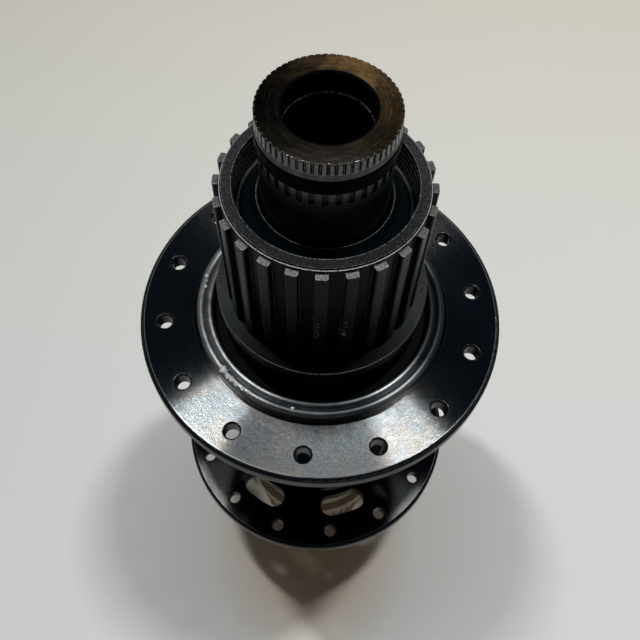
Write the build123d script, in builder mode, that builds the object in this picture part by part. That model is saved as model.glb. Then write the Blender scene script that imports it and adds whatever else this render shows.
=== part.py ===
from build123d import *
import math
import os

# Rear disc hub for a 12 mm thru-axle, in millimetres.
# Z is the hub's axis. The hub stands on its disc end at Z = 0, and the drive end is up.

os.makedirs("parts", exist_ok=True)

# Overall sizes
over_locknut = 148.0
right_end_to_flange = 49.5
left_end_to_flange = 40.7

# Flanges and spoke holes
flange_thickness = 3.2
right_flange_r = 32.8
left_flange_r = 31.6
right_spoke_inset = 4.5
left_spoke_inset = 3.9
spoke_hole_r = 1.3
spoke_hole_chamfer = 0.3
spokes_per_flange = 14
right_spoke_start = 8.9
flange_top_round = 0.8
flange_bottom_round = 0.5

# Curved slots in the left flange
slot_count = 7
slot_inset = 9.7
slot_width = 4.8
slot_arc = 15.0
slot_start = -71.1

# Shell between and beside the flanges
boss_inset = 8.2
boss_length = 1.6
boss_curve_length = 14.0
boss_curve_pull = 0.35
barrel_r = 15.0
barrel_wall = 3.3
left_boss_inset = 13.0
left_curve_length = 14.0
left_neck_r = 16.2
left_neck_length = 9.5
rotor_seat_r = 17.9
rotor_seat_thickness = 4.0
left_end_to_rotor_seat = 16.0
rotor_spline_r = 17.0
rotor_spline_length = 8.0
rotor_spline_count = 52
rotor_groove_depth = 0.6
rotor_groove_width = 1.0
lockring_step = 1.9
recess_r = 23.1
recess_depth = 1.8

# Axle and end nuts
axle_bore_r = 6.05
axle_r = 7.5
axle_end_chamfer = 0.3
thread_gap = 0.02
nut_lip = 3.3
nut_lip_bore_r = 6.1
nut_bore_chamfer = 0.15
nut_knurl_r = 9.43
nut_knurl_length = 1.95
nut_edge_chamfer = 0.12
knurl_count = 60
knurl_notch = 0.42
knurl_start = 1.5
nut_waist_r = 9.2
nut_belt_r = 9.65
nut_belt_start = 3.1
nut_belt_end = 5.2
nut_neck_r = 8.5
nut_length = 9.0

# Spacers between the nuts and the cones
spacer_r = 9.3
spacer_neck_gap = 0.05
spacer_counterbore_end = 10.1
serration_count = 34
serration_width = 0.85
serration_depth = 0.35
serration_length = 2.6
serration_start = -89.9
o_ring_wire_r = 0.48

# Cup and cone bearings, one at each end
ball_d = 3.969
ball_circle_r = 10.35
balls_per_side = 13
race_gap = 0.045
right_ball_depth = 24.5
left_ball_depth = 22.0
cone_nose_length = 7.0
cone_nose_r = 9.0
cone_flare_r = 10.3
cone_flare_start = 4.2
cone_flare_end = 2.9
cone_foot_r = 8.5
cone_foot_length = 2.2
cup_mouth_r = 12.6
cup_mouth_length = 5.5
cup_shoulder_length = 2.5
cup_spigot_r = 11.9
cup_spigot_length = 2.5
cup_opening_r = 10.9
cup_ledge = 0.4
cage_inner_r = 10.75
cage_outer_r = 12.2
cage_height = 2.15
cage_thickness = 0.65
cage_finger_width = 0.8
cage_finger_inner_r = 10.9
cage_finger_outer_r = 12.0
cage_finger_end = 0.3

# Dust seals in the cup mouths
seal_lip_gap = 0.15
seal_rim_r = 9.95
seal_rim_height = 8.2
seal_lip_height = 7.3
seal_lip_thickness = 0.4
seal_cone_start = 5.6
seal_skirt_end = 3.6
seal_wall = 0.55

# Freehub body
right_end_to_freehub = 13.9
freehub_bore_r = 13.3
freehub_root_r = 15.05
freehub_ring_chamfer = 0.3
spline_tip_r = 16.1
spline_width = 1.75
spline_corner_r = 0.28
spline_places = 24
spline_step = 0.8
spline_length = 25.1
shoulder_r = 17.97
shoulder_edge = 0.15
shoulder_thickness = 2.6
skirt_r = 17.4
lockring_thread_depth = 0.45
lockring_thread_pitch = 1.0
lockring_thread_turns = 5

# Freehub core, its balls and its bolt
core_gap = 0.25
freehub_ball_d = 3.175
freehub_ball_circle_r = 12.3
freehub_balls_per_row = 23
freehub_race_gap = 0.03
outboard_row_depth = 35.0
inboard_row_depth = 40.6
core_bore_r = 9.75
core_head_bore_r = 10.75
core_head_seat = 32.4
core_step_gap = 0.3
core_spigot_r = 12.2
core_spigot_length = 5.0
core_key_count = 12
core_key_width = 2.0
core_key_r = 13.0
core_key_sink = 1.0
key_gap = 0.05
bolt_r = 9.6
bolt_bore_r = 8.1
bolt_head_r = 10.65
bolt_head_height = 2.6
bolt_hex = 17.0
bolt_hex_depth = 2.0
bolt_thread_length = 6.7

# Ratchet, pawls and their ring spring
ratchet_teeth = 36
ratchet_root_r = 16.45
ratchet_tip_r = 15.7
drum_r = 15.3
drum_length = 7.4
pawl_count = 3
pawl_pivot_r = 13.0
pawl_pivot_angle = -24.0
pawl_heel_r = 1.4
pawl_tip_drop = 0.1
pawl_tip_height = 1.3
pawl_height = 4.6
pawl_gap = 0.06
pawl_swing = 8.0
pocket_margin = 2.0
pocket_gap = 0.1
pocket_tip_room = 0.5
pocket_reach = 4.5
spring_circle_r = 14.75
spring_wire_r = 0.3
spring_gap = 0.1
spring_opening = 30.0
spring_opening_start = 45.0

# Dust ring and rubber seal round the foot of the freehub
dust_ring_inner_r = 19.2
dust_ring_outer_r = 22.4
dust_ring_rise = 3.8
rubber_rise = 2.1
rubber_lip_gap = 0.15
rubber_lip_height = 0.7

# Heights and radii that follow from the sizes above
right_flange_top = over_locknut - right_end_to_flange
right_flange_bottom = right_flange_top - flange_thickness
right_spoke_circle_r = right_flange_r - right_spoke_inset
boss_r = right_flange_r - boss_inset
left_flange_top = left_end_to_flange
left_flange_bottom = left_flange_top - flange_thickness
left_spoke_circle_r = left_flange_r - left_spoke_inset
left_boss_r = left_flange_r - left_boss_inset
slot_circle_r = left_flange_r - slot_inset
recess_floor = right_flange_top - recess_depth
right_ball_z = over_locknut - right_ball_depth
left_ball_z = left_ball_depth
race_r = ball_d / 2 + race_gap
core_r = freehub_bore_r - core_gap
thread_r = axle_r + thread_gap
freehub_top = over_locknut - right_end_to_freehub
shoulder_z = freehub_top - spline_step - spline_length
core_top = right_ball_z - cup_shoulder_length
cup_foot = core_top - cup_spigot_length
bolt_seat = over_locknut - core_head_seat
core_foot = recess_floor - core_spigot_length
bolt_foot = core_foot - bolt_thread_length
drum_top = recess_floor + drum_length
ratchet_ledge = drum_top + core_step_gap
outboard_row_z = over_locknut - outboard_row_depth
inboard_row_z = over_locknut - inboard_row_depth
freehub_race_r = freehub_ball_d / 2 + freehub_race_gap
cavity_r = barrel_r - barrel_wall
shell_end = left_end_to_rotor_seat - rotor_spline_length
lockring_bore_r = core_r + lockring_step
left_mouth_z = left_ball_z - cup_mouth_length
left_cup_seat_z = left_ball_z + cup_shoulder_length
left_spigot_end_z = left_cup_seat_z + cup_spigot_length + core_step_gap
core_key_length = core_key_r - core_spigot_r + core_key_sink
core_key_middle_r = core_key_r - core_key_length / 2
pitch_between_spokes = 360.0 / spokes_per_flange
left_spoke_start = right_spoke_start + pitch_between_spokes / 2


def save(piece, name):
    """Label one piece and write its file."""
    piece.label = name
    export_step(piece, f"parts/{name}.step")


def turn(outline, mode=Mode.ADD):
    """Turn a closed outline of (radius, height) points about the hub's axis."""
    with BuildSketch(Plane.XZ) as profile:
        with BuildLine():
            Polyline(*outline, close=True)
        make_face()
    revolve(profile.sketch, axis=Axis.Z, mode=mode)


def ring_groove(height, circle_r, groove_r):
    """Cut a round-bottomed groove right round the hub's axis."""
    with Locations((0, 0, height)):
        Torus(circle_r, groove_r, mode=Mode.SUBTRACT)


def from_end(end_z, inward, outline):
    """Change (radius, depth from an end face) points into (radius, height) points."""
    return [(radius, end_z + inward * depth) for radius, depth in outline]


def thread_outline(bore_r, depth, pitch, turns, mouth_z, inward):
    """Zigzag wall of a threaded bore, from its mouth inwards, as rings."""
    points = []
    for turn_number in range(turns):
        points.append((bore_r, mouth_z + inward * pitch * turn_number))
        points.append((bore_r + depth, mouth_z + inward * pitch * (turn_number + 0.5)))
    points.append((bore_r, mouth_z + inward * pitch * turns))
    return points


# Axle

with BuildPart() as axle:
    axle_top = over_locknut - nut_lip
    turn([
        (axle_bore_r + axle_end_chamfer, nut_lip),
        (axle_r - axle_end_chamfer, nut_lip),
        (axle_r, nut_lip + axle_end_chamfer),
        (axle_r, axle_top - axle_end_chamfer),
        (axle_r - axle_end_chamfer, axle_top),
        (axle_bore_r + axle_end_chamfer, axle_top),
        (axle_bore_r, axle_top - axle_end_chamfer),
        (axle_bore_r, nut_lip + axle_end_chamfer),
    ])
save(axle.part, "axle")


# Pieces that both ends have: nut, spacer, O-ring, cone, cup, balls, cage and seal

def end_nut(end_z, inward):
    """Knurled nut that closes one end of the axle and grips the frame."""
    with BuildPart() as nut:
        turn(from_end(end_z, inward, [
            (nut_lip_bore_r + nut_bore_chamfer, 0),
            (nut_knurl_r - nut_edge_chamfer, 0),
            (nut_knurl_r, nut_edge_chamfer),
            (nut_knurl_r, nut_knurl_length),
            (nut_waist_r, nut_knurl_length),
            (nut_belt_r, nut_belt_start),
            (nut_belt_r, nut_belt_end),
            (nut_neck_r, nut_belt_end),
            (nut_neck_r, nut_length),
            (thread_r, nut_length),
            (thread_r, nut_lip),
            (nut_lip_bore_r, nut_lip),
            (nut_lip_bore_r, nut_bore_chamfer),
        ]))
        with BuildSketch(Plane.XY.offset(end_z)):
            with PolarLocations(nut_knurl_r, knurl_count, start_angle=knurl_start):
                Rectangle(knurl_notch, knurl_notch, rotation=45)
        extrude(amount=inward * nut_knurl_length, mode=Mode.SUBTRACT)
    return nut.part


def end_spacer(end_z, inward, ball_depth):
    """Sleeve from the nut's belt to the cone, with a serrated collar under the nut."""
    cone_top = ball_depth - cone_nose_length
    with BuildPart() as spacer:
        turn(from_end(end_z, inward, [
            (nut_neck_r + spacer_neck_gap, nut_belt_end),
            (spacer_r, nut_belt_end),
            (spacer_r, cone_top),
            (thread_r, cone_top),
            (thread_r, spacer_counterbore_end),
            (nut_neck_r + spacer_neck_gap, spacer_counterbore_end),
        ]))
        with BuildSketch(Plane.XY.offset(end_z + inward * nut_belt_end)):
            with PolarLocations(spacer_r, serration_count, start_angle=serration_start):
                Rectangle(2 * serration_depth, serration_width)
        extrude(amount=inward * serration_length, mode=Mode.SUBTRACT)
    return spacer.part


def axle_o_ring(end_z, inward):
    """Rubber ring squeezed between the nut's neck and the spacer."""
    ring_r = (axle_r + nut_neck_r + spacer_neck_gap) / 2
    ring_depth = (nut_length + spacer_counterbore_end) / 2
    with BuildPart(Plane.XY.offset(end_z + inward * ring_depth)) as o_ring:
        Torus(ring_r, o_ring_wire_r)
    return o_ring.part


def axle_cone(ball_z, outward):
    """Threaded cone whose race faces the cup."""
    with BuildPart() as cone:
        turn(from_end(ball_z, outward, [
            (thread_r, cone_nose_length),
            (cone_nose_r, cone_nose_length),
            (cone_nose_r, cone_flare_start),
            (cone_flare_r, cone_flare_end),
            (cone_flare_r, 0),
            (cone_foot_r, -cone_foot_length / 2),
            (cone_foot_r, -cone_foot_length),
            (thread_r, -cone_foot_length),
        ]))
        ring_groove(ball_z, ball_circle_r, race_r)
    return cone.part


def bearing_cup(ball_z, outward):
    """Pressed cup with a long mouth for the seal and a spigot below its shoulder."""
    with BuildPart() as cup:
        turn(from_end(ball_z, outward, [
            (cup_mouth_r, cup_mouth_length),
            (core_r, cup_mouth_length),
            (core_r, -cup_shoulder_length),
            (cup_spigot_r, -cup_shoulder_length),
            (cup_spigot_r, -cup_shoulder_length - cup_spigot_length),
            (cup_opening_r, -cup_shoulder_length - cup_spigot_length),
            (cup_opening_r, cup_ledge),
            (cup_mouth_r, cup_ledge),
        ]))
        ring_groove(ball_z, ball_circle_r, race_r)
    return cup.part


def ball_ring(height, circle_r, diameter, count):
    """One row of loose balls."""
    with BuildPart(Plane.XY.offset(height)) as balls:
        with PolarLocations(circle_r, count):
            Sphere(diameter / 2)
    return balls.part


def ball_cage(ball_z, outward):
    """Pressed ring with one finger between each pair of balls."""
    finger_length = cage_height + cage_finger_end
    finger_middle_r = (cage_finger_inner_r + cage_finger_outer_r) / 2
    with BuildPart() as cage:
        turn(from_end(ball_z, outward, [
            (cage_inner_r, cage_height),
            (cage_outer_r, cage_height),
            (cage_outer_r, cage_height + cage_thickness),
            (cage_inner_r, cage_height + cage_thickness),
        ]))
        with BuildSketch(Plane.XY.offset(ball_z + outward * cage_height)):
            with PolarLocations(finger_middle_r, balls_per_side, start_angle=180 / balls_per_side):
                Rectangle(cage_finger_outer_r - cage_finger_inner_r, cage_finger_width)
        extrude(amount=-outward * finger_length)
    return cage.part


def dust_seal(ball_z, outward):
    """Cone-shaped seal pressed in the cup's mouth, with its lip round the spacer."""
    press_r = cup_mouth_r - thread_gap
    lip_r = spacer_r + seal_lip_gap
    with BuildPart() as seal:
        turn(from_end(ball_z, outward, [
            (press_r, seal_skirt_end),
            (press_r, seal_cone_start),
            (seal_rim_r, seal_rim_height),
            (lip_r, seal_lip_height),
            (lip_r, seal_lip_height - seal_lip_thickness),
            (seal_rim_r, seal_rim_height - 2 * seal_wall),
            (press_r - seal_wall, seal_cone_start - seal_wall),
            (press_r - seal_wall, seal_skirt_end),
        ]))
    return seal.part


sides = {
    "right": (over_locknut, -1, right_ball_depth),
    "left": (0.0, 1, left_ball_depth),
}
for side, (end_z, inward, ball_depth) in sides.items():
    ball_z = end_z + inward * ball_depth
    save(end_nut(end_z, inward), f"{side}_lock_nut")
    save(end_spacer(end_z, inward, ball_depth), f"{side}_axle_spacer")
    save(axle_o_ring(end_z, inward), f"{side}_axle_o_ring")
    save(axle_cone(ball_z, -inward), f"{side}_cone")
    save(bearing_cup(ball_z, -inward), f"{side}_bearing_cup")
    save(ball_ring(ball_z, ball_circle_r, ball_d, balls_per_side), f"{side}_bearing_balls")
    save(ball_cage(ball_z, -inward), f"{side}_ball_retainer")
    save(dust_seal(ball_z, -inward), f"{side}_dust_seal")


# Hub shell with both flanges

with BuildPart() as hub_shell:
    boss_foot = right_flange_bottom - boss_length
    right_curve_end = boss_foot - boss_curve_length
    left_curve_start = left_flange_top + left_curve_length
    neck_end = left_flange_bottom - left_neck_length
    seat_top = left_end_to_rotor_seat + rotor_seat_thickness
    with BuildSketch(Plane.XZ) as shell_profile:
        with BuildLine():
            Polyline(
                (0, right_flange_top),
                (right_flange_r, right_flange_top),
                (right_flange_r, right_flange_bottom),
                (boss_r, right_flange_bottom),
                (boss_r, boss_foot),
            )
            Bezier(
                (boss_r, boss_foot),
                (barrel_r + boss_curve_pull * (boss_r - barrel_r), boss_foot),
                (barrel_r, boss_foot - boss_curve_pull * boss_curve_length),
                (barrel_r, right_curve_end),
            )
            Line((barrel_r, right_curve_end), (barrel_r, left_curve_start))
            Bezier(
                (barrel_r, left_curve_start),
                (barrel_r, left_flange_top + boss_curve_pull * left_curve_length),
                (left_boss_r, left_flange_top + boss_curve_pull * left_curve_length),
                (left_boss_r, left_flange_top),
            )
            Polyline(
                (left_boss_r, left_flange_top),
                (left_flange_r, left_flange_top),
                (left_flange_r, left_flange_bottom),
                (left_boss_r, left_flange_bottom),
                (left_neck_r, neck_end),
                (left_neck_r, seat_top),
                (rotor_seat_r, seat_top),
                (rotor_seat_r, left_end_to_rotor_seat),
                (rotor_spline_r, left_end_to_rotor_seat),
                (rotor_spline_r, shell_end),
                (0, shell_end),
                (0, right_flange_top),
            )
        make_face()
    revolve(axis=Axis.Z)

    rims = hub_shell.edges().filter_by(GeomType.CIRCLE)
    top_rims = [e for e in rims if e.radius > left_flange_r - 0.01
                and min(abs(e.center().Z - right_flange_top), abs(e.center().Z - left_flange_top)) < 0.01]
    bottom_rims = [e for e in rims if e.radius > left_flange_r - 0.01 and e not in top_rims]
    fillet(top_rims, flange_top_round)
    fillet(bottom_rims, flange_bottom_round)

    turn([
        (0, right_flange_top + 1),
        (recess_r, right_flange_top + 1),
        (recess_r, recess_floor),
        (core_spigot_r + key_gap, recess_floor),
        (core_spigot_r + key_gap, core_foot),
        (bolt_r + thread_gap, core_foot),
        (bolt_r + thread_gap, bolt_foot),
        (cavity_r, bolt_foot - core_step_gap),
        (cavity_r, left_spigot_end_z),
        (cup_spigot_r + thread_gap, left_spigot_end_z),
        (cup_spigot_r + thread_gap, left_cup_seat_z),
        (core_r + thread_gap, left_cup_seat_z),
        (core_r + thread_gap, left_mouth_z),
    ] + thread_outline(lockring_bore_r, lockring_thread_depth, lockring_thread_pitch,
                       lockring_thread_turns, left_mouth_z, -1) + [
        (lockring_bore_r, shell_end - 1),
        (0, shell_end - 1),
    ], mode=Mode.SUBTRACT)

    with BuildSketch(Plane.XY.offset(recess_floor)):
        with PolarLocations(core_key_middle_r, core_key_count):
            Rectangle(core_key_length + 2 * key_gap, core_key_width + 2 * key_gap)
    extrude(amount=-core_spigot_length, mode=Mode.SUBTRACT)

    with BuildSketch(Plane.XY.offset(right_flange_top)):
        with PolarLocations(right_spoke_circle_r, spokes_per_flange, start_angle=right_spoke_start):
            Circle(spoke_hole_r)
    extrude(amount=-flange_thickness, mode=Mode.SUBTRACT)

    with BuildSketch(Plane.XY.offset(left_flange_top)):
        with PolarLocations(left_spoke_circle_r, spokes_per_flange, start_angle=left_spoke_start):
            Circle(spoke_hole_r)
    extrude(amount=-flange_thickness, mode=Mode.SUBTRACT)

    hole_rims = [e for e in hub_shell.edges().filter_by(GeomType.CIRCLE)
                 if abs(e.radius - spoke_hole_r) < 0.001]
    chamfer(hole_rims, spoke_hole_chamfer)

    # Every second gap between two spoke holes has a slot inside it.
    with BuildSketch(Plane.XY.offset(left_flange_top)):
        with PolarLocations(0, slot_count, start_angle=slot_start):
            SlotArc(CenterArc((0, 0), slot_circle_r, -slot_arc / 2, slot_arc), slot_width)
    extrude(amount=-flange_thickness, mode=Mode.SUBTRACT)

    with BuildSketch(Plane.XY.offset(shell_end)):
        with PolarLocations(rotor_spline_r, rotor_spline_count):
            Rectangle(2 * rotor_groove_depth, rotor_groove_width)
    extrude(amount=rotor_spline_length, mode=Mode.SUBTRACT)
save(hub_shell.part, "hub_shell")


# Freehub body: bore, splines, shoulder and the ratchet inside its skirt

def polar_point(radius, angle):
    """Point at a radius and an angle in degrees."""
    return (radius * math.cos(math.radians(angle)), radius * math.sin(math.radians(angle)))


# A pawl points from its pivot to the root of the tooth at angle 0, and the tooth's
# driving face stands square to that line.
pivot_x, pivot_y = polar_point(pawl_pivot_r, pawl_pivot_angle)
reach_x = ratchet_root_r - pivot_x
reach_y = -pivot_y
pawl_reach = math.hypot(reach_x, reach_y)
pawl_direction = math.degrees(math.atan2(reach_y, reach_x))
face_x = -reach_y / pawl_reach
face_y = reach_x / pawl_reach
face_length = -ratchet_root_r * face_x - math.sqrt(
    (ratchet_root_r * face_x) ** 2 - ratchet_root_r ** 2 + ratchet_tip_r ** 2)
tooth_lean = math.degrees(math.atan2(face_length * face_y, ratchet_root_r + face_length * face_x))

skirt_foot = recess_floor + core_step_gap

with BuildPart() as freehub_body:
    turn(thread_outline(freehub_bore_r, lockring_thread_depth, lockring_thread_pitch,
                        lockring_thread_turns, freehub_top, -1) + [
        (freehub_bore_r, skirt_foot),
        (skirt_r, skirt_foot),
        (skirt_r, shoulder_z - shoulder_thickness),
        (shoulder_r, shoulder_z - shoulder_thickness),
        (shoulder_r, shoulder_z - shoulder_edge),
        (shoulder_r - shoulder_edge, shoulder_z),
        (freehub_root_r, shoulder_z),
        (freehub_root_r, freehub_top - freehub_ring_chamfer),
        (freehub_root_r - freehub_ring_chamfer, freehub_top),
    ])
    spline_depth = spline_tip_r - freehub_root_r
    spline_pitch = 360.0 / spline_places
    spline_block = spline_depth + 2 * spline_corner_r
    with BuildSketch(Plane.XY.offset(freehub_top - spline_step)):
        # One place, at the back, has no spline, so the sprockets fit one way only.
        with PolarLocations(spline_tip_r - spline_block / 2, spline_places - 1,
                            start_angle=90 + spline_pitch, angular_range=360 - 2 * spline_pitch,
                            endpoint=True):
            RectangleRounded(spline_block, spline_width, spline_corner_r)
    extrude(amount=-spline_length)
    ring_groove(outboard_row_z, freehub_ball_circle_r, freehub_race_r)
    ring_groove(inboard_row_z, freehub_ball_circle_r, freehub_race_r)
    tooth_pitch = 360.0 / ratchet_teeth
    ratchet_points = []
    for tooth in range(ratchet_teeth):
        ratchet_points.append(polar_point(ratchet_root_r, tooth * tooth_pitch))
        ratchet_points.append(polar_point(ratchet_tip_r, tooth * tooth_pitch + tooth_lean))
    with BuildSketch(Plane.XY.offset(skirt_foot)):
        with BuildLine():
            Polyline(*ratchet_points, close=True)
        make_face()
    extrude(amount=ratchet_ledge - skirt_foot, mode=Mode.SUBTRACT)
save(freehub_body.part, "freehub_body")


# Freehub core with pawl pockets, keyed to the shell

def pawl_plane(number, height, turned_by=0.0):
    """Plane at a pawl's pivot, with its local X along the pawl."""
    around = number * 360.0 / pawl_count
    centre_x, centre_y = polar_point(pawl_pivot_r, pawl_pivot_angle + around)
    along_x, along_y = polar_point(1.0, pawl_direction + around + turned_by)
    return Plane(origin=(centre_x, centre_y, height), x_dir=(along_x, along_y, 0), z_dir=(0, 0, 1))


pawl_top = drum_top - core_step_gap
pawl_foot = pawl_top - pawl_height
spring_z = pawl_top - pawl_height / 2
spring_slot_r = spring_circle_r - spring_wire_r - spring_gap
spring_slot_height = 2 * (spring_wire_r + spring_gap)
pawl_length = pawl_reach - pawl_gap

with BuildPart() as freehub_core:
    turn([
        (cup_spigot_r + thread_gap, core_top),
        (core_r, core_top),
        (core_r, drum_top),
        (drum_r, drum_top),
        (drum_r, recess_floor),
        (core_spigot_r, recess_floor),
        (core_spigot_r, core_foot),
        (core_bore_r, core_foot),
        (core_bore_r, bolt_seat),
        (core_head_bore_r, bolt_seat),
        (core_head_bore_r, cup_foot - pocket_gap),
        (cup_spigot_r + thread_gap, cup_foot - pocket_gap),
    ])
    with BuildSketch(Plane.XY.offset(recess_floor)):
        with PolarLocations(core_key_middle_r, core_key_count):
            Rectangle(core_key_length, core_key_width)
    extrude(amount=-core_spigot_length)
    ring_groove(outboard_row_z, freehub_ball_circle_r, freehub_race_r)
    ring_groove(inboard_row_z, freehub_ball_circle_r, freehub_race_r)
    for number in range(pawl_count):
        with BuildSketch(pawl_plane(number, pawl_foot - pocket_gap, pawl_swing + pocket_margin)):
            Circle(pawl_heel_r + pocket_gap / 2)
            with BuildLine():
                Polyline(
                    (0, pawl_heel_r + pocket_gap),
                    (pawl_length + pocket_tip_room, pawl_tip_height + pocket_tip_room),
                    (pawl_length + pocket_tip_room, -pocket_reach),
                    (0, -pocket_reach),
                    close=True,
                )
            make_face()
        extrude(amount=drum_top - pawl_foot + pocket_gap, mode=Mode.SUBTRACT)
    with BuildSketch(Plane.XY.offset(spring_z - spring_slot_height / 2)):
        Circle(drum_r + 1)
        Circle(spring_slot_r, mode=Mode.SUBTRACT)
    extrude(amount=spring_slot_height, mode=Mode.SUBTRACT)
save(freehub_core.part, "freehub_core")


# Pawls, each with a slot for the ring spring. They are drawn out in the teeth, then folded in.

for number in range(pawl_count):
    with BuildPart() as pawl:
        with BuildSketch(pawl_plane(number, pawl_foot)):
            Circle(pawl_heel_r)
            with BuildLine():
                Polyline(
                    (0, -pawl_heel_r),
                    (pawl_length, pawl_tip_drop),
                    (pawl_length, pawl_tip_drop + pawl_tip_height),
                    (0, pawl_heel_r),
                    close=True,
                )
            make_face()
        extrude(amount=pawl_height)
        with BuildSketch(Plane.XY.offset(spring_z - spring_slot_height / 2)):
            Circle(ratchet_root_r + 1)
            Circle(spring_slot_r, mode=Mode.SUBTRACT)
        extrude(amount=spring_slot_height, mode=Mode.SUBTRACT)
    hinge = Axis(pawl_plane(number, pawl_foot).origin, (0, 0, 1))
    save(pawl.part.rotate(hinge, pawl_swing), f"pawl_{number + 1}")


# Ring spring round the drum, open for part of a turn

with BuildPart() as pawl_spring:
    start_x, start_y = polar_point(1.0, spring_opening_start + spring_opening)
    spring_plane = Plane(origin=(0, 0, spring_z), x_dir=(start_x, start_y, 0),
                         z_dir=(start_y, -start_x, 0))
    with BuildSketch(spring_plane):
        with Locations((spring_circle_r, 0)):
            Circle(spring_wire_r)
    revolve(axis=Axis.Z, revolution_arc=360 - spring_opening)
save(pawl_spring.part, "pawl_spring")


# Hollow bolt that clamps the core to the shell

with BuildPart() as freehub_fixing_bolt:
    head_top = bolt_seat + bolt_head_height
    turn([
        (bolt_bore_r, head_top),
        (bolt_head_r, head_top),
        (bolt_head_r, bolt_seat),
        (bolt_r, bolt_seat),
        (bolt_r, bolt_foot),
        (bolt_bore_r, bolt_foot),
    ])
    with BuildSketch(Plane.XY.offset(head_top)):
        RegularPolygon(bolt_hex / 2, 6, major_radius=False)
    extrude(amount=-bolt_hex_depth, mode=Mode.SUBTRACT)
save(freehub_fixing_bolt.part, "freehub_fixing_bolt")


# Two rows of balls that carry the freehub body

save(ball_ring(outboard_row_z, freehub_ball_circle_r, freehub_ball_d, freehub_balls_per_row),
     "freehub_outboard_balls")
save(ball_ring(inboard_row_z, freehub_ball_circle_r, freehub_ball_d, freehub_balls_per_row),
     "freehub_inboard_balls")


# Dust ring with two rounded ridges, standing on the recess floor

with BuildPart() as drive_side_dust_ring:
    ring_width = dust_ring_outer_r - dust_ring_inner_r
    ridge_top = recess_floor + dust_ring_rise
    valley_r = dust_ring_inner_r + ring_width / 2
    valley_z = ridge_top - ring_width / 6
    foot_z = ridge_top - ring_width / 3
    with BuildSketch(Plane.XZ):
        with BuildLine():
            Line((dust_ring_outer_r, recess_floor), (dust_ring_inner_r, recess_floor))
            Line((dust_ring_inner_r, recess_floor), (dust_ring_inner_r, foot_z))
            ThreePointArc((dust_ring_inner_r, foot_z), (dust_ring_inner_r + ring_width / 4, ridge_top),
                          (valley_r, valley_z))
            ThreePointArc((valley_r, valley_z), (dust_ring_outer_r - ring_width / 5, ridge_top),
                          (dust_ring_outer_r, foot_z))
            Line((dust_ring_outer_r, foot_z), (dust_ring_outer_r, recess_floor))
        make_face()
    revolve(axis=Axis.Z)
save(drive_side_dust_ring.part, "drive_side_dust_ring")


# Rubber seal between the dust ring and the freehub's skirt

with BuildPart() as freehub_rubber_seal:
    lip_r = skirt_r + rubber_lip_gap
    body_r = (lip_r + dust_ring_inner_r) / 2
    turn([
        (dust_ring_inner_r - thread_gap, recess_floor),
        (dust_ring_inner_r - thread_gap, recess_floor + rubber_rise),
        (lip_r, recess_floor + rubber_rise),
        (lip_r, recess_floor + rubber_rise - rubber_lip_height),
        (body_r, recess_floor + rubber_rise - rubber_lip_height),
        (body_r, recess_floor),
    ])
save(freehub_rubber_seal.part, "freehub_rubber_seal")
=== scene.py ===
import math
import random

import bmesh
import bpy
from mathutils import Matrix, Vector


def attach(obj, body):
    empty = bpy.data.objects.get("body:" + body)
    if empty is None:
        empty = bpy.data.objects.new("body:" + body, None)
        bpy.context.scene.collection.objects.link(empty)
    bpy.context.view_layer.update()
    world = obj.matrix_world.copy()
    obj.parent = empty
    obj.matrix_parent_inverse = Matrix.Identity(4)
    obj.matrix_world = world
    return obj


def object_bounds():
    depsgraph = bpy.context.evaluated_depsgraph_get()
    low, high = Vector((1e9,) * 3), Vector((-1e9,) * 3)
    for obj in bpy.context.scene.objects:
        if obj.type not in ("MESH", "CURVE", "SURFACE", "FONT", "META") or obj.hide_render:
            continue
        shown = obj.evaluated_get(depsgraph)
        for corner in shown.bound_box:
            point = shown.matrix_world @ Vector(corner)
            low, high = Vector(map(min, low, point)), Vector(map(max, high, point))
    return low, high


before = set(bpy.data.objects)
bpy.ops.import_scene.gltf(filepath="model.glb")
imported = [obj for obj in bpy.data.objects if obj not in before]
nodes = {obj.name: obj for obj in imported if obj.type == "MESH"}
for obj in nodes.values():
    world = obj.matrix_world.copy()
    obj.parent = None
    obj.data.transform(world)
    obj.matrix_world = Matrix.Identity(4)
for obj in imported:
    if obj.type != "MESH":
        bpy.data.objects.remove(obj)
cad_low, cad_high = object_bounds()
scene = bpy.context.scene

MM = 0.001


# Camera, at the photo's viewing angle

CAMERA_HEIGHT = 213.54 * MM
CAMERA_BACK = 66.10 * MM
CAMERA_PITCH = math.radians(61.20)
CAMERA_YAW = math.radians(-0.04)
CAMERA_ROLL = math.radians(2.29)
CAMERA_NEAR = 5 * MM
FOCAL_PIXELS = 724.24
FRAME_PIXELS = 640
SENSOR_WIDTH = 36.0


def make_camera():
    """A camera that looks down on the drive end, a little rolled."""
    forward = Vector((
        math.sin(CAMERA_YAW) * math.cos(CAMERA_PITCH),
        math.cos(CAMERA_YAW) * math.cos(CAMERA_PITCH),
        -math.sin(CAMERA_PITCH),
    ))
    level = Vector((math.cos(CAMERA_YAW), -math.sin(CAMERA_YAW), 0))
    upright = level.cross(forward)
    right = level * math.cos(CAMERA_ROLL) + upright * math.sin(CAMERA_ROLL)
    up = upright * math.cos(CAMERA_ROLL) - level * math.sin(CAMERA_ROLL)
    data = bpy.data.cameras.new("camera")
    data.sensor_width = SENSOR_WIDTH
    data.lens = FOCAL_PIXELS * SENSOR_WIDTH / FRAME_PIXELS
    data.clip_start = CAMERA_NEAR
    camera = bpy.data.objects.new("camera", data)
    place = Matrix((right, up, -forward)).transposed().to_4x4()
    place.translation = Vector((0, -CAMERA_BACK, CAMERA_HEIGHT))
    camera.matrix_world = place
    scene.collection.objects.link(camera)
    scene.camera = camera


# Node helpers. Lengths are in millimetres, angles in degrees, and colours are linear red, green and blue.
# A band is a pair of values: where a change begins and where it is complete.

QUARTER_TURN = 0.25
EDGE_BEND = (0.01, 0.12)

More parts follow.
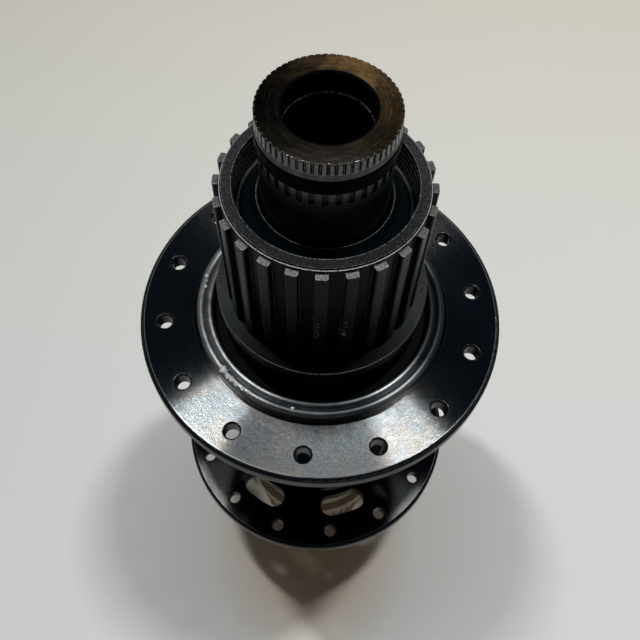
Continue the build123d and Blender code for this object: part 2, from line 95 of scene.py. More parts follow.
# Bands of a noise texture: most of its values, and the middle of them
MOST = (0.3, 0.7)
MIDDLE = (0.35, 0.65)


class Tree:
    """Short calls for the nodes that this scene uses."""

    def __init__(self, tree):
        self.tree = tree

    def add(self, kind):
        return self.tree.nodes.new("ShaderNode" + kind)

    def link(self, source, target):
        self.tree.links.new(source, target)

    def put(self, target, value):
        """Link a socket to the target, or set a number or a colour on the target itself."""
        if isinstance(value, bpy.types.NodeSocket):
            self.link(value, target)
        elif isinstance(value, tuple):
            target.default_value = (*value, 1.0)
        else:
            target.default_value = value

    def calculate(self, operation, *values):
        node = self.add("Math")
        node.operation = operation
        for socket, value in zip(node.inputs, values):
            self.put(socket, value)
        return node.outputs[0]

    def product(self, first, *others):
        for other in others:
            first = self.calculate("MULTIPLY", first, other)
        return first

    def total(self, first, second):
        return self.calculate("ADD", first, second)

    def larger(self, first, second):
        return self.calculate("MAXIMUM", first, second)

    def remainder(self, amount):
        """What an amount leaves of 1."""
        return self.calculate("SUBTRACT", 1.0, amount)

    def above(self, value, low):
        return self.calculate("GREATER_THAN", value, low)

    def below(self, value, high):
        return self.calculate("LESS_THAN", value, high)

    def within(self, value, band):
        """1 inside a band, else 0."""
        low, high = band
        return self.product(self.above(value, low), self.below(value, high))

    def span(self, value, band, results=(0.0, 1.0)):
        """The first result before a band, the second after it, and a straight line in it."""
        node = self.add("MapRange")
        node.clamp = True
        sockets = ("Value", "From Min", "From Max", "To Min", "To Max")
        for name, entry in zip(sockets, (value, *band, *results)):
            self.put(node.inputs[name], entry)
        return node.outputs[0]

    def fade(self, value, band, start=1.0):
        """Fall to 0 over a band."""
        return self.span(value, band, (start, 0.0))

    def window(self, value, opening, closing):
        """Rise to 1 over one band and fall to 0 over a later one."""
        return self.product(self.span(value, opening), self.fade(value, closing))

    def split(self, vector):
        node = self.add("SeparateXYZ")
        self.link(vector, node.inputs[0])
        return tuple(node.outputs)


class Material(Tree):
    """A material on one shader, which knows each point's place, radius and angle about the hub's axis."""

    def __init__(self, name):
        self.material = bpy.data.materials.new(name)
        self.material.use_nodes = True
        super().__init__(self.material.node_tree)
        self.tree.nodes.clear()
        self.shader = self.add("BsdfPrincipled")
        self.link(self.shader.outputs[0], self.add("OutputMaterial").inputs["Surface"])
        self.spot = self.object_millimetres()
        self.x, self.y, self.z = self.split(self.spot)
        self.radius = self.distance(self.x, self.y)
        self.turn = self.calculate("ARCTAN2", self.y, self.x)
        self.angle = self.product(self.turn, math.degrees(1))

    def set(self, **values):
        """Fill the shader's inputs, named with underscores for spaces."""
        for name, value in values.items():
            self.put(self.shader.inputs[name.replace("_", " ")], value)

    def object_millimetres(self):
        scaled = self.add("VectorMath")
        scaled.operation = "SCALE"
        self.link(self.add("TexCoord").outputs["Object"], scaled.inputs[0])
        scaled.inputs["Scale"].default_value = 1 / MM
        return scaled.outputs[0]

    def distance(self, x, y):
        return self.calculate("SQRT", self.total(self.product(x, x), self.product(y, y)))

    def along(self, x_share, y_share):
        """How far a point lies along a level direction, given by its shares of x and y."""
        return self.total(self.product(self.x, x_share), self.product(self.y, y_share))

    def end_depth(self):
        """Depth from the nearer end face of the hub."""
        hub_length = (cad_high.z - cad_low.z) / MM
        return self.calculate("MINIMUM", self.calculate("SUBTRACT", hub_length, self.z), self.z)

    def noise(self, scale, detail=3.0, roughness=0.55, vector=None):
        node = self.add("TexNoise")
        self.link(self.spot if vector is None else vector, node.inputs["Vector"])
        node.inputs["Scale"].default_value = scale
        node.inputs["Detail"].default_value = detail
        node.inputs["Roughness"].default_value = roughness
        return node.outputs["Fac"]

    def turning_marks(self, around, across, detail=3.0, roughness=0.55):
        """Noise drawn out round the axis like the marks of a lathe, with its density each way."""
        vector = self.add("CombineXYZ")
        parts = (
            self.product(self.radius, across),
            self.product(self.z, across),
            self.product(self.turn, around),
        )
        for socket, part in zip(vector.inputs, parts):
            self.link(part, socket)
        return self.noise(1.0, detail, roughness, vector.outputs[0])

    def mix(self, amount, first, second):
        node = self.add("Mix")
        node.data_type = "RGBA"
        sockets = [socket for socket in node.inputs if socket.enabled]
        for socket, value in zip(sockets, (amount, first, second)):
            self.put(socket, value)
        return [socket for socket in node.outputs if socket.enabled][0]

    def layered(self, colour, *layers):
        """Lay coats over a colour, each given as its amount and its own colour."""
        for amount, coat in layers:
            colour = self.mix(amount, colour, coat)
        return colour

    def rounded(self, radius):
        """Normals as if every edge had a small radius."""
        node = self.add("Bevel")
        node.samples = 6
        node.inputs["Radius"].default_value = radius * MM
        return node.outputs[0]

    def edges(self, radius):
        """1 along edges, fading to 0 one radius away."""
        dot = self.add("VectorMath")
        dot.operation = "DOT_PRODUCT"
        self.link(self.rounded(radius), dot.inputs[0])
        self.link(self.add("NewGeometry").outputs["Normal"], dot.inputs[1])
        return self.span(self.remainder(dot.outputs["Value"]), EDGE_BEND)

    def facing_up(self):
        """Height of the surface's own normal: 1 on flat tops, 0 on walls."""
        return self.split(self.add("NewGeometry").outputs["True Normal"])[2]

    def brushed(self, amount):
        """Shine drawn out across marks that run round the axis."""
        node = self.add("Tangent")
        node.direction_type = "RADIAL"
        node.axis = "Z"
        self.link(node.outputs[0], self.shader.inputs["Tangent"])
        self.set(Anisotropic=amount, Anisotropic_Rotation=QUARTER_TURN)

    def relief(self, height, strength, depth, edge_radius=None):
        """Fine relief from a texture, over edges that look rounded where a radius is given."""
        node = self.add("Bump")
        node.inputs["Strength"].default_value = strength
        node.inputs["Distance"].default_value = depth * MM
        self.link(height, node.inputs["Height"])
        if edge_radius is not None:
            self.link(self.rounded(edge_radius), node.inputs["Normal"])
        self.link(node.outputs[0], self.shader.inputs["Normal"])


# Shell: heights above the disc end's face, radii, and colours

DISC_SEAT_TOP = (36.9, 37.1)
SHELL_MIDDLE = (60.0, 70.0)
FLANGE_SPLIT = 90.0
RIGHT_FLANGE_START = (90.0, 91.0)
RIGHT_FACE = (24.0, 31.0)
RIGHT_RIM = (31.9, 32.1)
RIGHT_RIM_HIGHLIGHT = (31.93, 32.10)
LEFT_FACE = (28.8, 30.6)
LEFT_RIM_HIGHLIGHT = (30.73, 30.90)

SHELL_BLACKS = ((0.0012, 0.0022, 0.0042), (0.002, 0.003, 0.0055))
SHELL_RUBBED = (0.09, 0.09, 0.092)
SHELL_RIM_HIGHLIGHT = (0.09, 0.095, 0.10)
SHELL_SEAT_PAINTED_REFLECTION = (0.36, 0.30, 0.245)
SHELL_SHEENS = ((0.84, 0.94, 1.0), (0.98, 0.97, 0.93))


def shell_colour(g, grain, seat):
    """Blue-black with rubbed edges, a painted highlight line round each rim, and a painted reflection of
    the warm floor in pale brown at the disc seat.
    """
    clouds = g.noise(scale=0.12, detail=2.0)
    worn = g.product(g.edges(radius=0.14), g.span(grain, (0.42, 0.60), (0.1, 1.0)))
    # Painted highlight: a thin speckled bright line round the edge of each flange's face.
    painted_rim_highlights = g.larger(
        g.product(g.within(g.radius, RIGHT_RIM_HIGHLIGHT), g.above(g.z, FLANGE_SPLIT)),
        g.product(g.within(g.radius, LEFT_RIM_HIGHLIGHT), g.below(g.z, FLANGE_SPLIT)),
    )
    return g.layered(
        g.mix(g.span(clouds, MIDDLE), *SHELL_BLACKS),
        (worn, SHELL_RUBBED),
        (g.product(painted_rim_highlights, g.span(grain, MIDDLE, (0.2, 1.0))), SHELL_RIM_HIGHLIGHT),
        (seat, SHELL_SEAT_PAINTED_REFLECTION),
    )


def shell_shine(g, grain, marks):
    """Specular level: high and grainy on the right flange's face, low on rims and walls."""
    sparkle = g.product(g.span(grain, (0.36, 0.64), (0.62, 1.28)), g.span(marks, MIDDLE, (0.84, 1.14)))
    left_face = g.span(g.radius, LEFT_FACE, (0.03, 0.20))
    right_face = g.product(g.span(g.z, SHELL_MIDDLE), g.span(g.radius, RIGHT_FACE, (1.50, 0.86)))
    right_rim = g.product(g.span(g.radius, RIGHT_RIM), g.span(g.z, RIGHT_FLANGE_START))
    walls = g.span(right_rim, (0.0, 1.0), (0.22, 0.08))
    flat = g.span(g.facing_up(), (0.8, 0.95))
    return g.product(sparkle, g.span(flat, (0.0, 1.0), (walls, g.larger(left_face, right_face))))


def anodised_shell():
    """Black anodised shell with fine turning marks on the flanges."""
    g = Material("anodised_shell")
    marks = g.turning_marks(around=28.0, across=5.0, roughness=0.7)
    grain = g.noise(scale=5.0, roughness=0.8)
    tint = g.noise(scale=0.22, detail=2.0)
    # Painted reflection: the shell at the disc seat is painted pale brown for the warm floor that it
    # reflects.
    seat = g.fade(g.z, DISC_SEAT_TOP)
    g.set(
        Base_Color=shell_colour(g, grain, seat),
        Roughness=g.total(g.span(marks, MOST, (0.125, 0.18)), g.product(seat, 0.2)),
        Specular_IOR_Level=shell_shine(g, grain, marks),
        Specular_Tint=g.mix(g.span(tint, (0.40, 0.60)), *SHELL_SHEENS),
    )
    g.brushed(1.0)
    g.relief(marks, strength=0.05, depth=0.02, edge_radius=0.12)
    return g.material


# End nuts: radii, depths from the end face, and colours

NUT_MOUTH = (6.40, 6.44)
NUT_WEAR_START = (6.3, 7.0)
KNURL_FLOOR = (9.30, 9.37)
NUT_FACE_END = (0.05, 0.25)
KNURL_END = (1.93, 1.97)
COLLAR_END = (2.72, 2.80)
BELT_START = (2.74, 2.82)

NUT_BRONZES = ((0.050, 0.041, 0.030), (0.22, 0.158, 0.088))
NUT_MARKS = (0.022, 0.020, 0.018)
NUT_LEFT_PAINTED_SHADE = (0.006, 0.007, 0.009)
NUT_FRONT_PAINTED_SHADE = (0.040, 0.040, 0.039)
NUT_RIGHT_FRONT_PAINTED_SHADE = (0.030, 0.026, 0.021)
NUT_RIGHT_PAINTED_SHADE = (0.018, 0.015, 0.012)
NUT_FRONT_EDGE_HIGHLIGHT = (0.115, 0.105, 0.098)
NUT_SCRATCHES = (0.40, 0.38, 0.35)
KNURL_GREYS = ((0.024, 0.024, 0.025), (0.15, 0.15, 0.15))
KNURL_GROOVE_SHADE = (0.004, 0.004, 0.005)
COLLAR_GREYS = ((0.036, 0.036, 0.037), (0.082, 0.082, 0.084))
NUT_WORN = (0.42, 0.42, 0.41)
NUT_BELT_BLACK_AND_MOUTH_SHADE = (0.0024, 0.0026, 0.003)


def nut_face_colour(g, marks, tint, speckle):
    """Bronze with turned scratches, with painted shade that makes it black on the left, grey in front and
    brown on the right, and a painted highlight along its front edge.
    """
    # Painted shade on three sides of the face, and a speckled painted highlight along its front edge.
    right_front_shade = g.product(g.span(g.x, (2.0, 8.0)), g.fade(g.y, (-4.0, 4.0)), 0.6)
    front_edge_highlight = g.product(g.fade(g.y, (-8.6, -6.8), 0.75), g.span(speckle, (0.35, 0.60), (0.3, 1.0)))
    scratches = g.turning_marks(around=2.2, across=12.0, detail=2.0, roughness=0.6)
    scratched = g.product(g.span(scratches, (0.60, 0.68)), g.span(g.y, (-8.0, -3.0), (0.60, 0.35)))
    return g.layered(
        g.mix(g.span(tint, (0.38, 0.62)), *NUT_BRONZES),
        (g.fade(marks, (0.36, 0.62), 0.7), NUT_MARKS),
        (g.fade(g.along(0.9, 0.45), (-6.2, 4.0), 0.94), NUT_LEFT_PAINTED_SHADE),
        (g.fade(g.y, (-9.0, -1.0), 0.85), NUT_FRONT_PAINTED_SHADE),
        (right_front_shade, NUT_RIGHT_FRONT_PAINTED_SHADE),
        (g.span(g.x, (4.5, 8.0), (0.0, 0.55)), NUT_RIGHT_PAINTED_SHADE),
        (front_edge_highlight, NUT_FRONT_EDGE_HIGHLIGHT),
        (scratched, NUT_SCRATCHES),
    )


def nut_side_colour(g, depth, tint, speckle):
    """Speckled grey knurl with painted shade in its grooves, and a smoother collar below it."""
    # Painted shade: the knurl's grooves are darkened.
    grooves = g.product(g.fade(depth, KNURL_END), g.fade(g.radius, KNURL_FLOOR))
    return g.layered(
        g.mix(g.span(speckle, (0.38, 0.62)), *KNURL_GREYS),
        (grooves, KNURL_GROOVE_SHADE),
        (g.window(depth, KNURL_END, COLLAR_END), g.mix(g.span(tint, MIDDLE), *COLLAR_GREYS)),
    )


def bronze_nut():
    """Hard-anodised nut with worn edges. The belt under its collar is black, and a ring of painted shade
    darkens its mouth.
    """
    g = Material("bronze_nut")
    marks = g.turning_marks(around=1.6, across=7.0, detail=4.0, roughness=0.8)
    tint = g.noise(scale=0.35, roughness=0.7)
    speckle = g.noise(scale=5.0, roughness=0.75)
    depth = g.end_depth()
    worn = g.product(
        g.edges(radius=0.07),
        g.span(g.radius, NUT_WEAR_START, (0.2, 1.0)),
        g.span(speckle, (0.42, 0.58), (0.1, 1.0)),
    )
    # Black belt, and painted shade round the mouth that stands for a dark lead-in edge.
    black = g.larger(g.span(depth, BELT_START), g.fade(g.radius, NUT_MOUTH))
    bare = g.remainder(black)
    g.set(
        Base_Color=g.layered(
            nut_face_colour(g, marks, tint, speckle),
            (g.span(depth, NUT_FACE_END), nut_side_colour(g, depth, tint, speckle)),
            (worn, NUT_WORN),
            (black, NUT_BELT_BLACK_AND_MOUTH_SHADE),
        ),
        Metallic=bare,
        Roughness=g.total(g.product(g.span(marks, MOST, (0.14, 0.26)), bare), g.product(black, 0.10)),
        Specular_IOR_Level=0.02,
        IOR=1.15,
    )
    g.brushed(0.4)
    g.relief(marks, strength=0.35, depth=0.03, edge_radius=0.05)
    return g.material


# Axle spacers and dust seals: depth from the end face, radii and colours

SERRATIONS_END = (5.4, 7.0)
SERRATION_LANDS = (9.1, 9.2)
SEAL_CREST = (9.80, 10.02)
SEAL_SKIRT = (10.5, 11.0)

SLEEVE_TEAL = (0.0015, 0.0035, 0.005)
SLEEVE_EDGES = (0.06, 0.062, 0.065)
SLEEVE_LANDS = (0.078, 0.079, 0.080)
SEAL_TEAL = (0.0026, 0.0052, 0.0068)
SEAL_CREST_HIGHLIGHT = (0.20, 0.20, 0.195)


def satin_sleeve():
    """Teal-black satin with pale lands between the serrations and a speckled painted highlight on the
    seal's crest.
    """
    g = Material("satin_sleeve")
    marks = g.turning_marks(around=0.6, across=8.0, detail=2.0)
    specks = g.noise(scale=4.0, roughness=0.8)
    lands = g.product(g.fade(g.end_depth(), SERRATIONS_END), g.span(g.radius, SERRATION_LANDS))
    # Painted highlight: a speckled bright line along the seal's crest.
    crest = g.product(g.within(g.radius, SEAL_CREST), g.span(specks, (0.42, 0.58), (0.15, 1.0)))
    g.set(
        Base_Color=g.layered(
            SLEEVE_TEAL,
            (g.product(g.edges(radius=0.10), 0.5), SLEEVE_EDGES),
            (lands, SLEEVE_LANDS),
            (g.span(g.radius, SEAL_SKIRT), SEAL_TEAL),
            (crest, SEAL_CREST_HIGHLIGHT),
        ),
        Roughness=g.span(marks, MOST, (0.22, 0.34)),
        Specular_IOR_Level=0.24,
    )
    g.relief(marks, strength=0.08, depth=0.03, edge_radius=0.08)
    return g.material


# Freehub body: heights above the disc end's face, radii, angles and colours

SHOULDER_EDGE_HEIGHT = (107.7, 108.1)
SHOULDER_EDGE_RADIUS = (17.74, 17.80)
SHOULDER_SHADE_TOP = (112.0, 113.0)
SPLINE_SHADE_TOP = (116.3, 125.7)
SPLINE_RUB_HEIGHT = (112.0, 132.5)
SPLINE_TIP_HEIGHT = (130.0, 133.6)
SPLINE_TIP_RADIUS = (15.2, 15.4)
SPLINE_CAP_HEIGHT = (133.2, 133.4)
SPLINE_CAP_RADIUS = (15.15, 15.30)
SPLINE_SHINE_RADIUS = (15.2, 16.2)
END_RING_HEIGHT = (133.76, 133.90)
END_RING_RADIUS = (14.90, 14.94)
CHIP_HEIGHT = (116.5, 121.8)
CHIPPED_SPLINES = ((-94.0, -90.5), (-79.0, -75.5))
FRONT_ANGLE = -90.0
FRONT_OPENING = (-165.0, -135.0)
FRONT_CLOSING = (-45.0, -15.0)

FREEHUB_GREYS = ((0.0012, 0.0018, 0.0024), (0.0075, 0.0078, 0.0085))
FREEHUB_CLOUDS = (0.002, 0.0025, 0.003)
FREEHUB_SHADE = (0.0004, 0.0005, 0.0007)
FREEHUB_LIT_TOPS = ((0.004, 0.0045, 0.0055), (0.036, 0.038, 0.040))
FREEHUB_TOP_PAINTED_SHADOW = (0.002, 0.0025, 0.003)
FREEHUB_SHOULDER_PAINTED_SHADE = (0.0006, 0.0009, 0.0013)
FREEHUB_CAPS = (0.19, 0.193, 0.197)
FREEHUB_RUBBED = (0.30, 0.31, 0.315)
FREEHUB_BRIGHT = (0.50, 0.51, 0.515)
FREEHUB_SHOULDER_EDGE_HIGHLIGHT = (0.30, 0.29, 0.28)
FREEHUB_CHIPS = (0.22, 0.205, 0.20)
FREEHUB_SHEEN = (0.80, 0.93, 1.0)


def freehub_wear(g, fine, coarse, ahead):
    """Coats for the edges, caps and tips that handling has rubbed bright, for the chips, and for the outer
    edges of the end ring and the shoulder, which are rubbed and also carry a painted highlight.
    """
    worn = g.product(g.edges(radius=0.20), g.span(fine, (0.45, 0.60), (0.05, 1.0)))
    caps = g.product(
        g.within(g.z, SPLINE_CAP_HEIGHT),
        g.span(g.radius, SPLINE_CAP_RADIUS),
        g.span(fine, (0.40, 0.58), (0.25, 1.0)),
        g.span(ahead, (35.0, 75.0), (1.0, 0.4)),
    )
    # Rubbed edge and painted highlight: a speckled bright line round the end ring's outer edge.
    ring_edge_wear_and_highlight = g.product(
        g.within(g.z, END_RING_HEIGHT),
        g.span(g.radius, END_RING_RADIUS),
        g.span(fine, (0.36, 0.50)),
    )
    # Rubbed edge and painted highlight: a speckled bright line round the shoulder's outer edge, made
    # bright enough to show in the shoulder's shade.
    shoulder_edge_wear_and_highlight = g.product(
        g.within(g.z, SHOULDER_EDGE_HEIGHT),
        g.span(g.radius, SHOULDER_EDGE_RADIUS),
        g.span(fine, (0.40, 0.56)),
    )
    chips = g.product(
        g.within(g.z, CHIP_HEIGHT),
        g.span(g.noise(scale=2.4, roughness=0.7), (0.55, 0.60)),
        g.larger(*(g.within(g.angle, spline) for spline in CHIPPED_SPLINES)),
    )
    tips = g.product(
        g.within(g.z, SPLINE_TIP_HEIGHT),
        g.span(g.radius, SPLINE_TIP_RADIUS),
        worn,
        g.span(coarse, (0.38, 0.55), (0.35, 1.0)),
    )
    return (
        (caps, FREEHUB_CAPS),
        (g.product(g.span(g.z, SPLINE_RUB_HEIGHT, (0.12, 1.0)), worn), FREEHUB_RUBBED),
        (ring_edge_wear_and_highlight, FREEHUB_BRIGHT),
        (shoulder_edge_wear_and_highlight, FREEHUB_SHOULDER_EDGE_HIGHLIGHT),
        (chips, FREEHUB_CHIPS),
        (tips, FREEHUB_BRIGHT),
    )


def blasted_freehub():
    """Sandblasted grey-black alloy with rubbed edges and two chipped splines, with painted shade low on
    the splines and on the shoulder in front, upward faces painted lighter than the walls, and a painted
    shadow on their front.
    """
    g = Material("blasted_freehub")
    fine = g.noise(scale=3.6, roughness=0.85)
    coarse = g.noise(scale=0.9)
    ahead = g.calculate("ABSOLUTE", g.calculate("SUBTRACT", g.angle, FRONT_ANGLE))
    # Painted shade low on the splines, most in front.
    spline_shade = g.product(g.fade(g.z, SPLINE_SHADE_TOP), g.span(ahead, (30.0, 70.0), (0.92, 0.25)))
    shoulder_shade = g.product(
        g.window(g.angle, FRONT_OPENING, FRONT_CLOSING),
        g.fade(g.z, SHOULDER_SHADE_TOP),
    )
    # Painted light and shade: upward faces are lighter than the walls, with a painted shadow in front and
    # painted shade on the shoulder's front.
    flat = g.layered(
        g.mix(g.span(fine, (0.42, 0.62)), *FREEHUB_LIT_TOPS),
        (g.fade(g.y, (-16.0, -2.0), 0.45), FREEHUB_TOP_PAINTED_SHADOW),
        (g.product(shoulder_shade, 0.9), FREEHUB_SHOULDER_PAINTED_SHADE),
    )
    g.set(
        Base_Color=g.layered(
            g.mix(g.span(fine, (0.38, 0.62)), *FREEHUB_GREYS),
            (g.span(coarse, (0.4, 0.7), (0.0, 0.5)), FREEHUB_CLOUDS),
            (g.larger(spline_shade, shoulder_shade), FREEHUB_SHADE),
            (g.span(g.facing_up(), (0.9, 0.95)), flat),
            *freehub_wear(g, fine, coarse, ahead),
        ),
        Roughness=g.span(fine, MOST, (0.28, 0.40)),
        Specular_IOR_Level=g.product(
            g.span(spline_shade, (0.0, 1.0), (0.080, 0.016)),
            g.span(g.radius, SPLINE_SHINE_RADIUS, (0.55, 1.25)),
            g.span(ahead, (20.0, 70.0), (0.85, 2.6)),
        ),
        Specular_Tint=FREEHUB_SHEEN,
    )
    g.relief(fine, strength=0.5, depth=0.05, edge_radius=0.12)
    return g.material


# Bare turned metals: name, clean and stained colours, and the range of their roughness

RING_METAL = ("dust_ring_alloy", (0.22, 0.232, 0.242), (0.11, 0.12, 0.13), (0.34, 0.46))
GROUND_STEEL = ("ground_steel", (0.42, 0.42, 0.43), (0.26, 0.26, 0.27), (0.18, 0.32))
POLISHED_STEEL = ("polished_steel", (0.75, 0.75, 0.77), (0.68, 0.68, 0.70), (0.06, 0.20))

RING_INSIDE = (19.6, 20.0)
RING_FRONT = ((-122.0, -104.0), (-84.0, -66.0))
RING_HIGHLIGHT_ANGLES = ((-68.0, -56.0), (-46.0, -30.0))
RING_PAINTED_SHADE_RIGHT = (0.030, 0.036, 0.042)
RING_PAINTED_SHADE_FRONT = (0.020, 0.024, 0.029)
RING_PAINTED_HIGHLIGHT = (0.20, 0.215, 0.225)
RING_PAINTED_SHADE_INSIDE = (0.006, 0.008, 0.010)


def ring_painted_shading(g, metal):
    """Painted light and shade on the dust ring: darker on the right, dark in front and on the inside, with
    a painted highlight at one place.
    """
    # Painted shade and a painted highlight over the ring's metal.
    return g.layered(
        metal,
        (g.span(g.along(1.0, 0.12), (-14.0, 8.0)), RING_PAINTED_SHADE_RIGHT),
        (g.product(g.window(g.angle, *RING_FRONT), 0.6), RING_PAINTED_SHADE_FRONT),
        (g.product(g.window(g.angle, *RING_HIGHLIGHT_ANGLES), 0.7), RING_PAINTED_HIGHLIGHT),
        (g.fade(g.radius, RING_INSIDE, 0.9), RING_PAINTED_SHADE_INSIDE),
    )


def turned_metal(name, clean, stained, roughness, painted_shading=None):
    """Machined metal with turning marks, faint stains and optional painted shading over its colour."""
    g = Material(name)
    marks = g.turning_marks(around=0.7, across=9.0)
    metal = g.mix(g.span(g.noise(scale=0.5), (0.4, 0.7)), clean, stained)
    g.set(
        Base_Color=painted_shading(g, metal) if painted_shading else metal,
        Metallic=1.0,
        Roughness=g.span(marks, MOST, roughness),
    )
    g.brushed(0.4)
    g.relief(marks, strength=0.2, depth=0.03, edge_radius=0.1)
    return g.material


# Axle

AXLE_CHAMFER_DEPTH = (3.55, 3.65)
AXLE_CHAMFER_RADIUS = (6.45, 6.5)
AXLE_BLACK = (0.002, 0.002, 0.0025)
AXLE_BARE = (0.36, 0.35, 0.33)


def black_axle():
    """Black anodised tube with a chipped bare chamfer at each end."""
    g = Material("black_axle")
    marks = g.turning_marks(around=0.7, across=9.0)
    chips = g.noise(scale=3.0, detail=2.0, roughness=0.7)
    bare = g.product(
        g.fade(g.end_depth(), AXLE_CHAMFER_DEPTH),
        g.fade(g.radius, AXLE_CHAMFER_RADIUS),
        g.span(chips, (0.48, 0.56)),
        g.span(g.x, (-5.5, 1.0), (0.2, 1.0)),
    )
    g.set(
        Base_Color=g.mix(bare, AXLE_BLACK, AXLE_BARE),
        Metallic=bare,
        Roughness=g.span(marks, MOST, (0.22, 0.36)),
        Specular_IOR_Level=0.3,
    )
    g.relief(marks, strength=0.2, depth=0.03)
    return g.material


# Rubber and grease

RUBBER_BLACKS = ((0.001, 0.0012, 0.0015), (0.003, 0.0033, 0.0037))
GREASE_WHITES = ((0.50, 0.53, 0.54), (0.72, 0.74, 0.74))


def moulded_rubber():
    """Matt black rubber with a fine skin grain."""
    g = Material("moulded_rubber")
    skin = g.noise(scale=5.0, roughness=0.7)
    g.set(
        Base_Color=g.mix(g.span(skin, MIDDLE), *RUBBER_BLACKS),
        Roughness=g.span(skin, MOST, (0.50, 0.70)),
        Specular_IOR_Level=0.04,
    )
    g.relief(skin, strength=0.3, depth=0.05)
    return g.material


def pale_grease():
    """Pale opaque grease with a soft shine."""
    g = Material("grease")
    skin = g.noise(scale=2.5)
    g.set(
        Base_Color=g.mix(g.span(skin, MIDDLE), *GREASE_WHITES),
        Roughness=g.span(skin, MOST, (0.25, 0.45)),
        Specular_IOR_Level=0.5,
    )
    g.relief(skin, strength=0.4, depth=0.1)
    return g.material


def dress_nodes():
    """Give each node its material. The balls are polished, and what isn't named is ground steel."""
    nut = bronze_nut()
    sleeve = satin_sleeve()
    rubber = moulded_rubber()
    looks = {
        "hub_shell": anodised_shell(),
        "right_lock_nut": nut,
        "left_lock_nut": nut,
        "right_axle_spacer": sleeve,
        "left_axle_spacer": sleeve,
        "right_dust_seal": sleeve,
        "left_dust_seal": sleeve,
        "freehub_body": blasted_freehub(),
        "axle": black_axle(),
        "drive_side_dust_ring": turned_metal(*RING_METAL, ring_painted_shading),
        "freehub_rubber_seal": rubber,
        "right_axle_o_ring": rubber,
        "left_axle_o_ring": rubber,
    }
    steel = turned_metal(*GROUND_STEEL)
    polished = turned_metal(*POLISHED_STEEL)
    for name, node in nodes.items():
        material = looks.get(name, polished if name.endswith("_balls") else steel)
        node.data.materials.clear()
        node.data.materials.append(material)


# Specks of assembly grease on the dust ring: the angle, radius and width of each

GREASE_HEIGHT = 100.42
GREASE_SEED = 7
GREASE_STRETCH = (1.0, 1.5)
GREASE_FLATNESS = 0.5
GREASE_SWELL = 0.22
GREASE_WAVES = (3.1, 5.0)
GREASE_SPECKS = (
    (-138.2, 21.7, 1.35), (-134.6, 21.85, 0.95), (-131.9, 21.8, 1.00), (-129.2, 21.9, 0.75),
    (-127.4, 21.6, 0.40), (-125.3, 21.85, 0.75), (-122.4, 21.65, 0.60), (-119.8, 21.8, 0.35),
    (-100.9, 21.3, 0.55), (-98.9, 21.5, 0.30),
    (168.3, 21.6, 0.70), (171.0, 21.3, 0.40), (174.2, 21.2, 0.55),
)


def add_speck(blobs, angle, radius, width, stretch):
    """One small flattened blob, pulled out along the ring and uneven."""
    across = width * MM / 2
    along = across * stretch
    centre = Vector((radius * MM, 0, GREASE_HEIGHT * MM))
    turned = Matrix.Rotation(math.radians(angle), 3, "Z")
    wave_x, wave_y = GREASE_WAVES
    made = bmesh.ops.create_icosphere(blobs, subdivisions=3, radius=1.0)
    for vertex in made["verts"]:
        x, y, z = vertex.co
        swell = 1.0 + GREASE_SWELL * math.sin(wave_x * x + wave_y * y + angle)
        point = Vector((x * across * swell, y * along * swell, z * across * GREASE_FLATNESS))
        vertex.co = turned @ (point + centre)


def make_grease():
    """All the specks as one mesh, which rides on the shell with the ring."""
    draw = random.Random(GREASE_SEED)
    blobs = bmesh.new()
    for angle, radius, width in GREASE_SPECKS:
        add_speck(blobs, angle, radius, width, draw.uniform(*GREASE_STRETCH))
    for face in blobs.faces:
        face.smooth = True
    mesh = bpy.data.meshes.new("grease_specks")
    blobs.to_mesh(mesh)
    blobs.free()
    mesh.materials.append(pale_grease())
    specks = bpy.data.objects.new("grease_specks", mesh)
    scene.collection.objects.link(specks)
    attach(specks, "hub_shell")


# Floor. Its far part glows like the backdrop where it is seen.

FLOOR_SIZE = 8.0
FLOOR_SHADE = (-260.0, 150.0)
FLOOR_BEHIND = (20.0, 220.0)
FLOOR_FAR = (280.0, 1000.0)
FOOT_SHADOW = (8.0, 30.0)
FOOT_SHADOW_BEFORE_AXIS = 20.0
FOOT_SHADOW_DRAWN_OUT = 0.8

PAPER_COOL = ((0.530, 0.557, 0.566), (0.755, 0.777, 0.777))
PAPER_WARM = ((0.603, 0.598, 0.551), (0.800, 0.782, 0.712))
PAPER_SHADOW_BROWN = (0.62, 0.50, 0.39)
BACKDROP = (0.60, 0.60, 0.575)


def floor_paper():
    """Pale paper, cool in front and warm behind, with painted shade towards the back left and a painted
    brown tint in the shadow at the hub's foot.
    """
    g = Material("floor_paper")
    grain = g.noise(scale=0.8, roughness=0.7)
    # Painted shade: the paper darkens towards the back left.
    shade = g.span(g.along(0.8, -0.7), FLOOR_SHADE)
    # Painted shadow: a brown tint in the hub's shadow just in front of its foot.
    foot = g.distance(g.x, g.product(g.total(g.y, FOOT_SHADOW_BEFORE_AXIS), FOOT_SHADOW_DRAWN_OUT))
    path = g.add("LightPath")
    seen = g.larger(path.outputs["Is Camera Ray"], path.outputs["Is Glossy Ray"])
    g.set(
        Base_Color=g.layered(
            g.mix(shade, *PAPER_COOL),
            (g.span(g.y, FLOOR_BEHIND), g.mix(shade, *PAPER_WARM)),
            (g.fade(foot, FOOT_SHADOW), PAPER_SHADOW_BROWN),
        ),
        Roughness=0.9,
        Specular_IOR_Level=0.2,
        Emission_Color=BACKDROP,
        Emission_Strength=g.product(g.span(g.radius, FLOOR_FAR, (0.0, 0.93)), seen),
    )
    g.relief(grain, strength=0.05, depth=0.1)
    return g.material


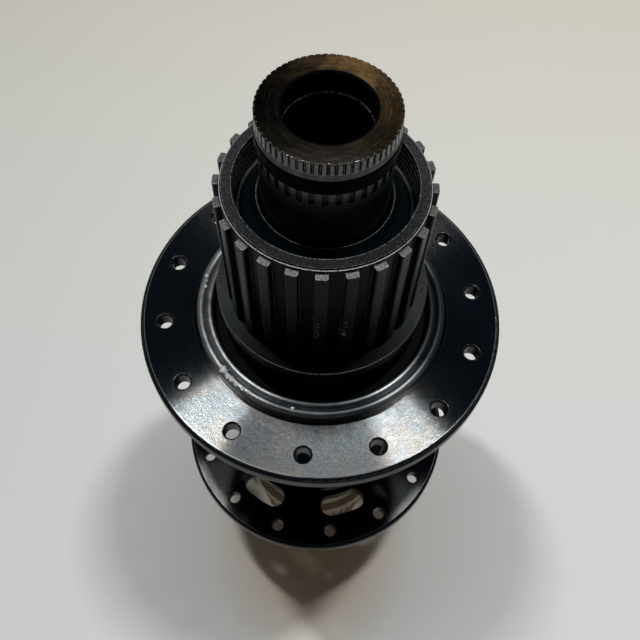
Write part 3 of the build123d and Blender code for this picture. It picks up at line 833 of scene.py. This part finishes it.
def make_floor():
    """A large square at the foot of the part."""
    half = FLOOR_SIZE / 2
    corners = [(-half, -half, 0), (half, -half, 0), (half, half, 0), (-half, half, 0)]
    mesh = bpy.data.meshes.new("floor")
    mesh.from_pydata(corners, [], [(0, 1, 2, 3)])
    mesh.materials.append(floor_paper())
    floor = bpy.data.objects.new("floor", mesh)
    scene.collection.objects.link(floor)
    floor.location.z = cad_low.z


# Lamps: place, target, size, power and colour, in metres and watts.
# The narrow ones at the sides draw the ends of the light fan on the right flange.

HUB_FOOT = (0, 0, 0)
HUB_TOP = (0, 0, cad_high.z)
NEUTRAL = (1.0, 0.99, 0.97)
AMBER = (1.0, 0.76, 0.46)
LAMPS = {
    "overhead": ((-0.024, 0.10, 0.74), HUB_FOOT, (0.32, 0.12), 0.80, NEUTRAL),
    "overhead_left": ((-0.186, 0.130, 0.73), HUB_FOOT, (0.028, 0.10), 1.98, NEUTRAL),
    "overhead_right": ((0.163, 0.098, 0.73), HUB_FOOT, (0.040, 0.10), 2.20, NEUTRAL),
    "warm_card": ((0.15, 0.72, 0.72), HUB_TOP, (0.34, 0.16), 0.28, AMBER),
}


def make_lamp(name, place, target, size, power, colour):
    """One area lamp, turned to face its target."""
    data = bpy.data.lights.new(name, "AREA")
    data.shape = "RECTANGLE"
    data.size, data.size_y = size
    data.energy = power
    data.color = colour
    lamp = bpy.data.objects.new(name, data)
    lamp.location = place
    lamp.rotation_mode = "QUATERNION"
    lamp.rotation_quaternion = (Vector(target) - Vector(place)).to_track_quat("-Z", "Y")
    scene.collection.objects.link(lamp)


# Room. A height in it is the sine of the angle above the horizon.

WALL_HEIGHT = 0.30
WALL_COLOUR = (1.0, 0.80, 0.60, 1.0)
CEILING_HEIGHT = 0.75
CEILING_COLOUR = (0.62, 0.88, 1.0, 1.0)
DIMMING_HEIGHT = (0.35, 0.75)
ROOM_STRENGTH = (0.22, 0.02)
LOW_GLINT_HEIGHT = (0.06, 0.16)


def make_world():
    """A room with warm walls and a dark ceiling, and a pale backdrop for the camera and for low glints."""
    world = bpy.data.worlds.new("room")
    world.use_nodes = True
    g = Tree(world.node_tree)
    room = g.tree.nodes["Background"]
    height = g.split(g.add("TexCoord").outputs["Generated"])[2]
    g.link(g.span(height, DIMMING_HEIGHT, ROOM_STRENGTH), room.inputs["Strength"])
    hue = g.add("ValToRGB")
    g.link(height, hue.inputs[0])
    wall, ceiling = hue.color_ramp.elements
    wall.position = WALL_HEIGHT
    wall.color = WALL_COLOUR
    ceiling.position = CEILING_HEIGHT
    ceiling.color = CEILING_COLOUR
    g.link(hue.outputs[0], room.inputs["Color"])

    path = g.add("LightPath")
    low_glints = g.product(path.outputs["Is Glossy Ray"], g.fade(height, LOW_GLINT_HEIGHT))
    backdrop = g.add("Background")
    g.put(backdrop.inputs["Color"], BACKDROP)
    choose = g.add("MixShader")
    g.link(g.larger(path.outputs["Is Camera Ray"], low_glints), choose.inputs[0])
    g.link(room.outputs[0], choose.inputs[1])
    g.link(backdrop.outputs[0], choose.inputs[2])
    g.link(choose.outputs[0], g.tree.nodes["World Output"].inputs["Surface"])
    scene.world = world


make_camera()
dress_nodes()
make_grease()
make_floor()
make_world()
for lamp_name, settings in LAMPS.items():
    make_lamp(lamp_name, *settings)

scene.view_settings.view_transform = "Standard"
